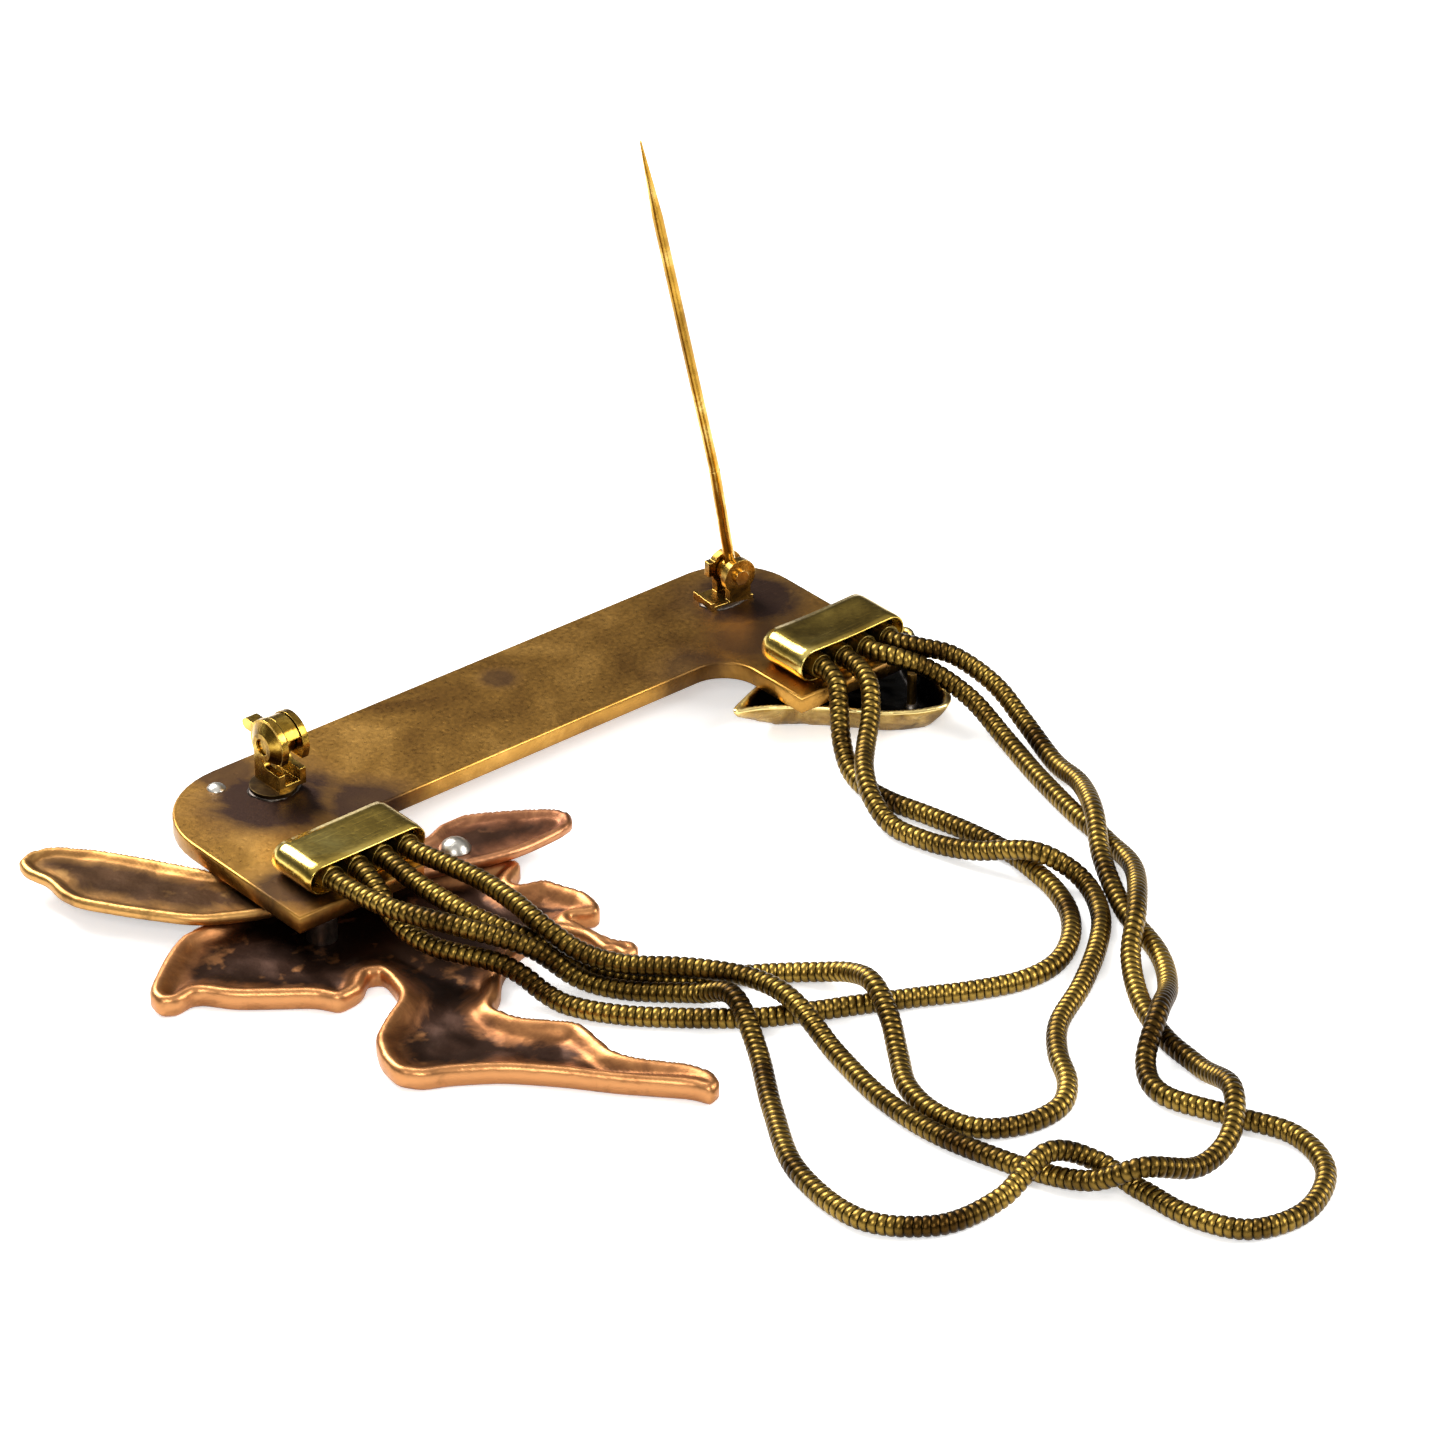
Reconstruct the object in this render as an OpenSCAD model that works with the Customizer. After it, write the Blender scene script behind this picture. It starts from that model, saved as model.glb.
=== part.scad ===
// Back-pinned costume brooch: a C-shaped back plate with a hinged pin and a rollover
// catch, a winged figure and a leaf soldered under its arms, and four snake chains
// that run from one flattened tube clamp to the other. It lies face down, pin open.
// X runs along the bar, from the catch to the hinge. The arms run towards -Y.
// Z is up, out of the plate's back. Z = 0 is the surface that the brooch lies on.

/* [Back plate] */
// Thickness of the flat back plate
plate_t = 1.8; // [1.2:0.1:2.4]
// Height of the plate's underside above the surface it lies on
standoff = 3.4; // [3:0.1:4.5]
// Length of the bar
plate_len = 73; // [72:0.5:78]
// Width of the bar
bar_w = 14.7; // [14:0.1:18]
// Length of the arms beyond the bar
arm_len = 10.7; // [10:0.1:14]
// Width of each arm
arm_w = 14; // [13:0.5:16]
// Corner radius beside the catch
corner_left = 9; // [4:0.5:10]
// Corner radius beside the hinge
corner_right = 7; // [4:0.5:9]
// Fillet between the bar and each arm
inner_fillet = 3.8; // [2:0.1:5]

/* [Pin and hinge] */
// Height of the hinge rivet and of the closed pin above the plate
pin_h = 2.8; // [2.7:0.05:3.1]
// Radius of the pin wire
wire_r = 0.53; // [0.45:0.01:0.55]
// How far the closed pin's tip stops short of the catch's centre
pin_short = 0.4; // [0:0.1:0.6]
// Length of the filed point
point_len = 9; // [6:0.5:12]
// Length from the rivet to the slight bend in the pin
bend_at = 13; // [8:1:20]
// Angle of that bend
bend_deg = 2.6; // [0.5:0.1:4]
// How far the pin stands open at rest, from closed
open_deg = 75; // [70:1:90]
// Turn of the hinge on the plate, away from square
hinge_turn = 6; // [0:0.5:8]
// Radius of the hinge rivet
rivet_r = 0.42; // [0.35:0.01:0.5]
// Running clearance of the pin's knuckle on the rivet, per side
knuckle_gap = 0.04; // [0.02:0.01:0.08]
// Radius of the knuckle
knuckle_r = 1.3; // [1.1:0.05:1.5]
// How much thicker the knuckle is than the wire
knuckle_extra = 0.19; // [0.15:0.01:0.3]
// Side clearance between the knuckle and each ear
ear_gap = 0.12; // [0.08:0.01:0.2]
// Radius of the hinge ears
ear_r = 1.75; // [1.6:0.05:2]
// Thickness of each ear
ear_t = 0.8; // [0.6:0.05:1]
// Thickness of the hinge foot
foot_t = 0.4; // [0.3:0.05:0.6]

/* [Catch] */
// Height of the catch's centre above the plate
catch_h = 4.8; // [4.7:0.05:5.1]
// Radius of the catch's round walls
catch_r = 2.5; // [2.4:0.05:2.7]
// Thickness of each wall
wall_t = 0.7; // [0.6:0.05:0.9]
// Width of the turning barrel
barrel_w = 1.4; // [1.2:0.1:1.6]
// Side clearance between the barrel and each wall
barrel_gap = 0.12; // [0.08:0.01:0.2]
// Clearance round the pin in the throat, per side
throat_gap = 0.15; // [0.12:0.01:0.25]
// Length of the thumb lever from the catch's centre
lever_len = 4.9; // [4:0.1:5.5]
// Height of the domed outer wall
dome_h = 0.6; // [0.3:0.05:0.8]
// Radius of the round foot
pad_r = 2.25; // [2:0.05:2.6]
// Thickness of the round foot
pad_t = 0.45; // [0.3:0.05:0.6]

/* [Chains and clamps] */
// Diameter of the snake chain
strand_d = 1.9; // [1.8:0.05:1.95]
// Distance between neighbouring chain ends
chain_pitch = 2.8; // [2.7:0.05:3]
// Length of each flattened tube clamp
clamp_len = 13.2; // [12.8:0.1:14]
// Depth of each clamp, along the chains
clamp_depth = 5.8; // [5:0.1:7]
// Clearance above and below the chain rings in the left clamp
clamp_gap = 0.03; // [0.02:0.01:0.2]
// How much higher the right clamp is, as it is crushed less
clamp_rise = 0.4; // [0:0.1:0.8]
// Wall of the clamp tube
clamp_wall = 0.32; // [0.25:0.01:0.34]
// Wall of the ring on each chain end
collar_wall = 0.22; // [0.16:0.01:0.24]
// Length of that ring
collar_len = 1.5; // [1:0.1:2]
// Clearance between a chain and its ring, per side
collar_gap = 0.03; // [0.02:0.01:0.05]

/* [Figure and leaf] */
// Height of the figure's rim
figure_h = 2.2; // [1.8:0.1:2.3]
// Thickness of the figure's face, under its hollow back
face_t = 0.9; // [0.7:0.1:1.2]
// Width of the figure's rim round its hollow back
figure_rim = 1; // [0.7:0.1:1.3]
// Thickness of the leaf's wall
leaf_wall = 0.7; // [0.5:0.1:1]
// Radius of the peg in the leaf
peg_r = 0.45; // [0.35:0.05:0.6]
// Height of the peg's top above the surface
peg_top = 4.5; // [3.8:0.1:4.6]

/* [Hidden] */
$fn = 48;
FACE = 0.001;

// Left end of the bar and its top edge, in the plate's own frame
plate_left = -42;
bar_top = 1.6;
plate_right = plate_left + plate_len;
bar_low = bar_top - bar_w;
arm_end = bar_low - arm_len;
back_z = standoff + plate_t;

// Hinge and catch share the line of the closed pin
pin_line_y = bar_top - 6.2;
hinge_x = plate_right - 6.4;
catch_x = plate_left + 12.4;
pin_len = hinge_x - catch_x - pin_short;
knuckle_t = 2 * wire_r + knuckle_extra;
pin_z = back_z + pin_h;
catch_z = back_z + catch_h;
frame_w = barrel_w + 2 * barrel_gap + 2 * wall_t;
throat_r = wire_r + throat_gap;
foot_x = catch_x - 0.9;

// Clamps and chain ends
clamp_mouth = arm_end + 1.6;
clamp_x_left = plate_left + 9;
clamp_x_right = plate_right - 6.2;
collar_bore = strand_d / 2 + collar_gap;
collar_r = collar_bore + collar_wall;
clamp_h_left = 2 * (clamp_wall + collar_r + clamp_gap);
clamp_h_right = clamp_h_left + clamp_rise;
chain_z = back_z + clamp_h_left / 2;
chain_in = clamp_mouth + 1.5;
left_x = [for (i = [-1.5:1:1.5]) clamp_x_left + i * chain_pitch];
right_x = [for (i = [-1.5:1:1.5]) clamp_x_right + i * chain_pitch];
FLOOR = strand_d / 2;

// Each chain's way from the right clamp round to the left clamp
ROUTE_A = [[right_x[1], chain_in, chain_z], [right_x[1], -23, chain_z], [23.3, -25.2, 6.4],
    [22.4, -27.4, 5.8], [20.6, -29.5, 4.3], [18, -31.8, 3.2], [15.2, -34.8, 3.1],
    [13.4, -38, 2.2], [12.9, -41.4, 1.1], [13.8, -45.5, FLOOR], [15.2, -50, 1.6],
    [17.5, -55, 3.1], [19.2, -58, 2.2], [19.4, -61, 1.1], [17, -65, FLOOR], [13.3, -68.4, FLOOR],
    [8, -72, FLOOR], [2.5, -75, FLOOR], [-0.8, -78.4, FLOOR], [-3.2, -82.2, FLOOR],
    [-6.3, -84.5, FLOOR], [-10.4, -84.4, FLOOR], [-13.8, -82.2, FLOOR], [-15, -78.2, FLOOR],
    [-14.2, -73.8, FLOOR], [-11.7, -69.8, 1.1], [-9.4, -66, 2.2], [-7.9, -62.2, 3.1],
    [-7.2, -58.6, 2.1], [-8.4, -55.4, 1.1], [-12.6, -52, FLOOR],
    [-18, -48.8, FLOOR], [-22.2, -44.1, 1.1], [-24, -41.4, 2],
    [-25.6, -39.4, 3.2], [-28, -36.6, 4.2], [-29.8, -33, 5], [-31.2, -28, 6],
    [left_x[2], -23.4, chain_z], [left_x[2], chain_in, chain_z]];
ROUTE_B = [[right_x[0], chain_in, chain_z], [right_x[0], -23, chain_z], [20.2, -25.1, 6.2],
    [18.9, -27, 4.6], [17.5, -29, 2.6], [16.4, -31.4, 1.2], [15.6, -34.6, FLOOR],
    [15.8, -38, FLOOR], [16.8, -42, FLOOR], [17.8, -47, FLOOR], [18.2, -51.5, FLOOR],
    [17.8, -55.3, FLOOR], [17, -59, FLOOR], [15.2, -62.8, FLOOR], [12.2, -66, FLOOR],
    [8.5, -67.9, FLOOR], [4.5, -67.9, FLOOR], [0, -66.2, FLOOR], [-4.5, -63.8, FLOOR],
    [-9, -61.5, FLOOR], [-13.5, -59.3, FLOOR], [-17, -57.4, FLOOR], [-20, -55, FLOOR],
    [-22.9, -52.4, FLOOR], [-25.3, -50, FLOOR], [-27.3, -47.4, FLOOR], [-28.6, -44.9, FLOOR],
    [-29.4, -42.6, 1.5], [-30.2, -40.8, 2.6], [-31.4, -38.8, 3.5], [-33, -36.2, 3.7],
    [-34.3, -33.8, 3.8], [-35, -31, 4.1], [-35.1, -28.2, 4.9], [-34.6, -25.6, 6.1],
    [left_x[1], -23.2, chain_z], [left_x[1], chain_in, chain_z]];
ROUTE_C = [[right_x[3], chain_in, chain_z], [right_x[3], -23.2, chain_z], [30.2, -25.6, 6.7],
    [32.4, -28.2, 6], [33.8, -32.4, 4.2], [33.6, -37, 2.1], [32.2, -42.6, FLOOR],
    [30.2, -48.2, 2], [26.4, -54, 3.2], [22.6, -59.2, 2.1], [19.3, -65.8, FLOOR],
    [16.9, -72.6, FLOOR], [13.2, -77.6, 1.5], [8.2, -81.6, 3.1], [3.6, -84.8, 1.3],
    [1.8, -89, FLOOR], [4.2, -95.2, FLOOR], [6.2, -100.6, FLOOR], [4.4, -106, FLOOR],
    [-1, -109, FLOOR], [-6.4, -107.8, FLOOR], [-8.9, -103, FLOOR], [-9.4, -97.6, FLOOR],
    [-10.4, -93.4, 2], [-14, -91.2, 3.3], [-19.6, -91.6, 1.4], [-25.8, -90.6, FLOOR],
    [-30.2, -85.6, FLOOR], [-29.6, -77, FLOOR], [-25.4, -69, FLOOR], [-21, -61.8, 1.6],
    [-18.6, -55.8, 3.1], [-19.1, -51.2, 1.3], [-22.9, -46.8, FLOOR], [-25.6, -43.1, 1.5],
    [-28.8, -39.9, 4.6], [-33, -35.4, 6.3], [-36, -29.4, 6.5], [left_x[0], -23.8, chain_z],
    [left_x[0], chain_in, chain_z]];
ROUTE_D = [[right_x[2], chain_in, chain_z], [right_x[2], -23.2, chain_z], [27.3, -25.5, 6.6],
    [29.6, -28, 5.4], [31.2, -32, 3.4], [30.9, -37.4, 1.4], [29.2, -43.6, FLOOR],
    [27.5, -50, FLOOR], [26.3, -56.2, FLOOR], [23.9, -62, 1.9], [18.2, -68.3, 3.2],
    [13.8, -72.2, 1.7], [10.2, -77.4, FLOOR], [7.9, -83, FLOOR], [7, -88.4, 1.1],
    [4.8, -94.2, 3.1], [1, -97.9, 1.9], [-4, -99.2, 1.6], [-9.3, -98, 3.3], [-12.4, -94.6, 1.5],
    [-14.9, -88.6, FLOOR], [-17, -80.6, FLOOR], [-17, -73.4, FLOOR], [-15.6, -66, 1.1],
    [-14.9, -59.6, 2.9], [-15.5, -54.6, 3.1], [-18.4, -49.8, 3], [-22.6, -45.5, 3],
    [-25.1, -42.4, 3.9], [-26.6, -39, 5.6], [-26.8, -35.4, 6.3], [-26.9, -31, 6.4],
    [-27.8, -27, 6.6], [left_x[3], -23.4, chain_z], [left_x[3], chain_in, chain_z]];

// The outlines start from the end of the left arm, and the leaf's from the right one's.
// Outline of the figure: hair, face side, shoulder, legs, toes, hand, arm and back
FIGURE = [[4, 8.8], [0, 9], [-4, 8.8], [-7, 8.6], [-10, 6.8], [-14.3, 3.3], [-14.7, 1.3],
    [-13.3, 0.2], [-11, 0.6], [-9, -2.2], [-6, -4.6], [-3.4, -6.6], [-2.2, -8.8], [0.4, -8.6],
    [2.2, -7], [3.4, -7.6], [2.4, -11.6], [-1, -13.6], [-3.5, -15.4], [-5, -18.2], [-5.4, -20.8],
    [-4, -22.8], [-1.6, -23.9], [2, -26.4], [5.5, -30.2], [8.6, -34.2], [11, -36.8],
    [12.8, -38.8], [13.6, -40.7], [15, -40.2], [15.6, -38.6], [14.8, -36.2], [12, -32.8],
    [11, -30.6], [11.4, -27.6], [11.6, -25], [8, -21.2], [7.2, -18.2], [9.4, -16.8],
    [11.4, -14.4], [15, -12.4], [18.6, -11.6], [19.7, -12.8], [20.7, -14.8], [20.4, -17.6],
    [21.2, -18.2], [21.2, -19.6], [22.6, -19.9], [23.6, -18.6], [22.2, -16.6], [21.8, -14.2],
    [21.4, -11.4], [22.2, -11.4], [24, -12.6], [25, -11.6], [25.4, -9.2], [24.4, -6.8],
    [23.8, -5], [21.6, -4.4], [21.2, -3.4], [23.8, -1.8], [23.8, -0.4], [20, 1.3], [14, 4.8],
    [8, 7.8]];
WING_LEFT = [[6, 10.8], [1.5, 12.3], [-2.5, 19.3], [-5, 23.3], [-8, 26.8], [-10.2, 27.4],
    [-12, 26.7], [-12.5, 24.8], [-11.8, 22.2], [-12.2, 19.8], [-11.8, 17.6], [-9, 13.2],
    [-5.3, 8.2], [0, 5.2], [6, 4.3]];
WING_RIGHT = [[9, 7.3], [15, 6.2], [19, 6], [21.2, 7], [24, 6.9], [27.5, 4.8], [30.8, 2.5],
    [31.6, 0.8], [30.6, -0.8], [28.6, -1.3], [24, -1.4], [20, -0.4], [15, 1.3], [9, 3.3]];
LEAF = [[-19, 4.8], [-16, 3.6], [-13, 1.3], [-11, -0.8], [-8, -4.6], [-5, -6.7], [-2.4, -7.6],
    [-1, -6.8], [0.2, -4.6], [1.6, -0.7], [3.6, 3.2], [5, 5.8], [3, 7.5], [-2, 8.8], [-8, 8.6],
    [-14, 6.8]];

left_arm = [plate_left, arm_end];
right_arm = [plate_right, arm_end];
// The brooch's middle, without its chains, stands over the origin
x_low = left_arm.x + min([for (p = FIGURE) p.x]);
x_high = right_arm.x + max([for (p = LEAF) p.x]);
y_low = left_arm.y + min([for (p = FIGURE) p.y]);
y_high = left_arm.y + max([for (p = WING_LEFT) p.y]);
shift = [-(x_low + x_high) / 2, -(y_low + y_high) / 2, 0];
module at_left(x, y, z) translate(shift + [left_arm.x + x, left_arm.y + y, z]) children();
module at_right(x, y, z) translate(shift + [right_arm.x + x, right_arm.y + y, z]) children();

// Point at t on a smooth curve through b and c, with a and d on either side.
// A route's first and last stretches, inside the clamps, stay straight.
function curve(a, b, c, d, t) = 0.5 * (2 * b + (c - a) * t + (2 * a - 5 * b + 4 * c - d) * t * t
    + (3 * b - a - 3 * c + d) * t * t * t);
function smooth_route(r, steps) = [r[0], for (i = [1:len(r) - 3], s = [0:steps - 1])
    curve(r[i - 1], r[i], r[i + 1], r[i + 2], s / steps), r[len(r) - 2], r[len(r) - 1]];
function unit(v) = v / norm(v);
function along(p, i) = unit(p[min(i + 1, len(p) - 1)] - p[max(i - 1, 0)]);
function ring(p, i, r, n) = let (t = along(p, i), s = unit(cross(t, [0, 0, 1])), u = cross(s, t))
    [for (k = [0:n - 1]) p[i] + r * (cos(360 * (k + 0.5) / n) * s + sin(360 * (k + 0.5) / n) * u)];

// A closed tube of n sides that follows the points p
module tube(p, r, n) {
    rings = [for (i = [0:len(p) - 1]) each ring(p, i, r, n)];
    sides = [for (i = [0:len(p) - 2], k = [0:n - 1])
        [i * n + k, i * n + (k + 1) % n, (i + 1) * n + (k + 1) % n, (i + 1) * n + k]];
    caps = [[for (k = [n - 1:-1:0]) k], [for (k = [0:n - 1]) (len(p) - 1) * n + k]];
    polyhedron(points = rings, faces = concat(sides, caps), convexity = 10);
}

module chain(route) translate(shift) color("#6b5a2a")
    tube(smooth_route(route, 2), strand_d / 2, 8);

// A long slot shape with round ends, as wide as w and as high as h
module flat_tube(w, h) {
    square([w - h, h], center = true);
    for (s = [-1, 1]) translate([s * (w - h) / 2, 0]) circle(r = h / 2);
}

// A quarter-round fillet that fills the corner at the origin, towards +X and -Y
module fillet(r) difference() {
    translate([-FACE, -r]) square([r + FACE, r + FACE]);
    translate([r, -r]) circle(r = r);
}

module plate_outline() {
    difference() {
        translate([plate_left, arm_end])
            square([plate_right - plate_left, bar_top - arm_end]);
        translate([plate_left + arm_w, arm_end - 1])
            square([plate_right - plate_left - 2 * arm_w, arm_len + 1]);
        translate([plate_left, bar_top]) fillet(corner_left);
        translate([plate_right, bar_top]) mirror([1, 0]) fillet(corner_right);
    }
    translate([plate_left + arm_w, bar_low]) fillet(inner_fillet);
    translate([plate_right - arm_w, bar_low]) mirror([1, 0]) fillet(inner_fillet);
}

module back_plate() color("#b08a45") translate(shift + [0, 0, standoff])
    linear_extrude(plate_t) plate_outline();

// Frame of the hinge: origin on the rivet's axis, Y along it
module at_hinge() translate(shift + [hinge_x, pin_line_y, pin_z])
    rotate([0, 0, -hinge_turn]) children();
// A cylinder along Y, centred on the origin
module along_y(r, w) rotate([90, 0, 0]) cylinder(r = r, h = w, center = true);
// A cylinder along X, centred on the origin
module along_x(r, w) rotate([0, 90, 0]) cylinder(r = r, h = w, center = true);

ear_in = knuckle_t / 2 + ear_gap;
ear_y = ear_in + ear_t / 2;
hinge_w = 2 * (ear_in + ear_t);
foot_front = 1.5;
foot_back = 3.4;
foot_lip = 0.4;

module hinge_joint() color("#a8823c") at_hinge() difference() {
    union() {
        for (s = [-1, 1]) translate([0, s * ear_y, 0]) {
            along_y(ear_r, ear_t);
            translate([-1.2, -ear_t / 2, -pin_h]) cube([2.4, ear_t, pin_h]);
        }
        translate([-foot_back, -hinge_w / 2, -pin_h])
            cube([foot_back + foot_front, hinge_w, foot_t]);
        translate([-foot_back, -hinge_w / 2, -pin_h])
            cube([foot_lip, hinge_w, foot_t + foot_lip]);
        // Rolled stop on the far ear
        translate([-ear_r - 0.35, ear_in, -0.5]) cube([1.2, ear_t, 1.5]);
    }
    along_y(rivet_r, hinge_w + 1);
}

head_r = 0.75;
head_t = 0.35;
module hinge_rivet() color("#c9a658") at_hinge() {
    along_y(rivet_r, hinge_w);
    for (s = [-1, 1]) translate([0, s * (hinge_w + head_t) / 2, 0]) along_y(head_r, head_t);
}

// The pin is drawn closed, along -X, then swung open
upper_len = pin_len - bend_at;
bend_low = atan(upper_len * sin(bend_deg) / (bend_at + upper_len * cos(bend_deg)));
module upper_wire() rotate_extrude()
    polygon([[0, -0.4], [wire_r, -0.4], [wire_r, upper_len - point_len], [0.1, upper_len],
        [0, upper_len]]);
module pin_stem() color("#d0a650") at_hinge() rotate([0, open_deg, 0]) difference() {
    union() {
        along_y(knuckle_r, knuckle_t);
        rotate([0, 0, hinge_turn]) rotate([0, bend_low - 90, 0]) {
            cylinder(r = wire_r + 0.03, h = bend_at);
            translate([0, 0, bend_at]) rotate([0, -bend_deg, 0]) upper_wire();
        }
    }
    along_y(rivet_r + knuckle_gap, knuckle_t + 1);
}

module solder_hinge() color("#8f8a80") at_hinge() difference() {
    translate([-1, 0, -pin_h]) cylinder(r = 3.4, h = 0.3);
    translate([-foot_back, -hinge_w / 2, -pin_h - 1])
        cube([foot_back + foot_front, hinge_w, 3]);
}

// Frame of the catch: origin at its centre, X along the closed pin
module at_catch() translate(shift + [catch_x, pin_line_y, catch_z]) children();

jaw_front = 1.7;
jaw_back = 2.1;
post_h = 0.5;
module wall_shape() difference() {
    union() {
        circle(r = catch_r);
        translate([-jaw_front, -catch_h + pad_t]) square([jaw_front + jaw_back, catch_h - pad_t]);
    }
    translate([0, pin_h - catch_h]) circle(r = throat_r);
    translate([-5, pin_h - catch_h - throat_r]) square([5, 2 * throat_r]);
}
module wall(x) translate([x, 0, 0]) rotate([90, 0, 90]) linear_extrude(wall_t) wall_shape();

axle_r = 0.45;
axle_head_r = 0.7;
module catch_frame() color("#c29a48") at_catch() difference() {
    union() {
        wall(-frame_w / 2);
        wall(frame_w / 2 - wall_t);
        translate([-frame_w / 2, -jaw_front, -catch_h + pad_t])
            cube([frame_w, jaw_front + jaw_back, post_h]);
        // Dome on the outer wall, cut by the throat
        difference() {
            translate([-frame_w / 2, 0, 0]) rotate([0, -90, 0])
                cylinder(r1 = catch_r - 0.2, r2 = 1.3, h = dome_h);
            translate([-frame_w, -5, pin_h - catch_h - throat_r])
                cube([frame_w, 5, 2 * throat_r]);
            translate([0, 0, pin_h - catch_h]) along_x(throat_r, 3 * frame_w);
        }
    }
    along_x(axle_r, 3 * frame_w);
    translate([-(frame_w + dome_h) / 2 - 0.05, 0, 0]) along_x(axle_head_r + 0.1, dome_h + 0.1);
}

barrel_r = 2.4;
core_r = catch_h - pin_h - wire_r - 0.12;
lever_t = 1.1;
pocket_from = 155;
pocket_to = 290;
module pocket() difference() {
    polygon([[0, 0], for (a = [pocket_from:15:pocket_to]) 5 * [cos(a), sin(a)]]);
    circle(r = core_r);
}
module catch_barrel() color("#caa24e") at_catch() rotate([90, 0, 90])
    translate([0, 0, -barrel_w / 2]) linear_extrude(barrel_w) difference() {
        union() {
            circle(r = barrel_r);
            translate([0, -lever_t / 2]) square([lever_len - lever_t / 2, lever_t]);
            translate([lever_len - lever_t / 2, 0]) circle(r = lever_t / 2);
        }
        pocket();
        circle(r = axle_r + knuckle_gap);
    }

module catch_axle() color("#c9a658") at_catch() {
    along_x(axle_r, frame_w);
    translate([-(frame_w + head_t) / 2, 0, 0]) along_x(axle_head_r, head_t);
    translate([(frame_w + 0.2) / 2, 0, 0]) along_x(axle_head_r, 0.2);
}

module at_pad() translate(shift + [foot_x, pin_line_y + 0.1, back_z]) children();
module catch_foot() color("#8d7440") at_pad() cylinder(r = pad_r, h = pad_t);
module solder_catch() color("#857f76") at_pad() difference() {
    cylinder(r = pad_r + 0.6, h = 0.25);
    translate([0, 0, -1]) cylinder(r = pad_r, h = 3);
}

// A flattened tube on the plate, open towards the chains, with a closed far end
module clamp(x, h) color("#d3b25a") translate(shift + [x, clamp_mouth, back_z + h / 2])
    rotate([-90, 0, 0]) difference() {
        linear_extrude(clamp_depth) flat_tube(clamp_len, h);
        translate([0, 0, -1]) linear_extrude(clamp_depth - 0.5 + 1)
            flat_tube(clamp_len - 2 * clamp_wall, h - 2 * clamp_wall);
    }
module clamp_left() clamp(clamp_x_left, clamp_h_left);
module clamp_right() clamp(clamp_x_right, clamp_h_right);

module chain_rings(xs) color("#b79a4c") for (x = xs)
    translate(shift + [x, clamp_mouth - 0.35, chain_z]) rotate([-90, 0, 0]) difference() {
        cylinder(r = collar_r, h = collar_len);
        translate([0, 0, -1]) cylinder(r = collar_bore, h = collar_len + 2);
    }
module chain_rings_left() chain_rings(left_x);
module chain_rings_right() chain_rings(right_x);

module solder_fill(x, h) color("#6f675c") translate(shift + [x, chain_in, back_z + h / 2])
    rotate([-90, 0, 0]) linear_extrude(clamp_depth - 0.5 - 1.5)
        flat_tube(clamp_len - 2 * clamp_wall, h - 2 * clamp_wall);
module solder_fill_left() solder_fill(clamp_x_left, clamp_h_left);
module solder_fill_right() solder_fill(clamp_x_right, clamp_h_right);

module chain_a() chain(ROUTE_A);
module chain_b() chain(ROUTE_B);
module chain_c() chain(ROUTE_C);
module chain_d() chain(ROUTE_D);

// A hollow-backed casting of the given outline
module figure_body() color("#a06a45") at_left(0, 0, 0) difference() {
    linear_extrude(figure_h) polygon(FIGURE);
    translate([0, 0, face_t]) linear_extrude(figure_h) offset(delta = -figure_rim)
        polygon(FIGURE);
}

wing_t = standoff - figure_h;
wing_hollow = 0.5;
module wing(outline) difference() {
    linear_extrude(wing_t) polygon(outline);
    translate([0, 0, wing_t - wing_hollow]) linear_extrude(wing_t)
        offset(delta = -figure_rim) polygon(outline);
}
module wing_left() color("#b08348") at_left(0, 0, figure_h) wing(WING_LEFT);
module wing_right() color("#9c6b4a") at_left(0, 0, figure_h) wing(WING_RIGHT);

// A low round blob of solder
module blob(r, h) rotate_extrude() intersection() {
    translate([0, (h * h - r * r) / (2 * h)]) circle(r = (h * h + r * r) / (2 * h), $fn = 96);
    square([r, h]);
}
module solder_wing() color("#b9b4a8") at_left(20, 3.2, standoff - wing_hollow)
    blob(1.5, 1);
module solder_body() color("#8a8478") at_left(3.5, 1.5, face_t)
    cylinder(r = 1.4, h = standoff - face_t);
module solder_peg() color("#8a7a52") at_right(-2.1, -2.3, leaf_floor) difference() {
    blob(0.8, 0.6);
    translate([0, 0, -1]) cylinder(r = peg_r, h = 3);
}
module solder_spot() color("#b5afa2") translate(shift + [plate_left + 7.4, bar_top - 2.8, back_z]) blob(0.9, 0.45);

// A hollow leaf, deepest under its middle
leaf_floor = 0.8;
module leaf_layer(z, inset) translate([0, 0, z]) linear_extrude(0.05)
    offset(delta = -inset) polygon(LEAF);
module leaf_shell() color("#b0924c") at_right(0, 0, 0) difference() {
    hull() {
        leaf_layer(0, 2.2);
        leaf_layer(1.1, 0.8);
        leaf_layer(standoff - 0.05, 0);
    }
    hull() {
        leaf_layer(leaf_floor, 1.3 + leaf_wall);
        leaf_layer(1.4, 0.8 + leaf_wall);
        leaf_layer(standoff, leaf_wall);
    }
}
module leaf_peg() color("#c0a050") at_right(-2.1, -2.3, leaf_floor)
    cylinder(r = peg_r, h = peg_top - leaf_floor);

back_plate();
hinge_joint();
hinge_rivet();
pin_stem();
solder_hinge();
catch_foot();
catch_frame();
catch_barrel();
catch_axle();
solder_catch();
clamp_left();
clamp_right();
chain_rings_left();
chain_rings_right();
solder_fill_left();
solder_fill_right();
chain_a();
chain_b();
chain_c();
chain_d();
figure_body();
wing_left();
wing_right();
solder_wing();
solder_body();
leaf_shell();
leaf_peg();
solder_peg();
solder_spot();
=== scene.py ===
import math

import bmesh
import bpy
import numpy as np
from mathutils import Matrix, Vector
from mathutils.noise import noise


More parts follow.
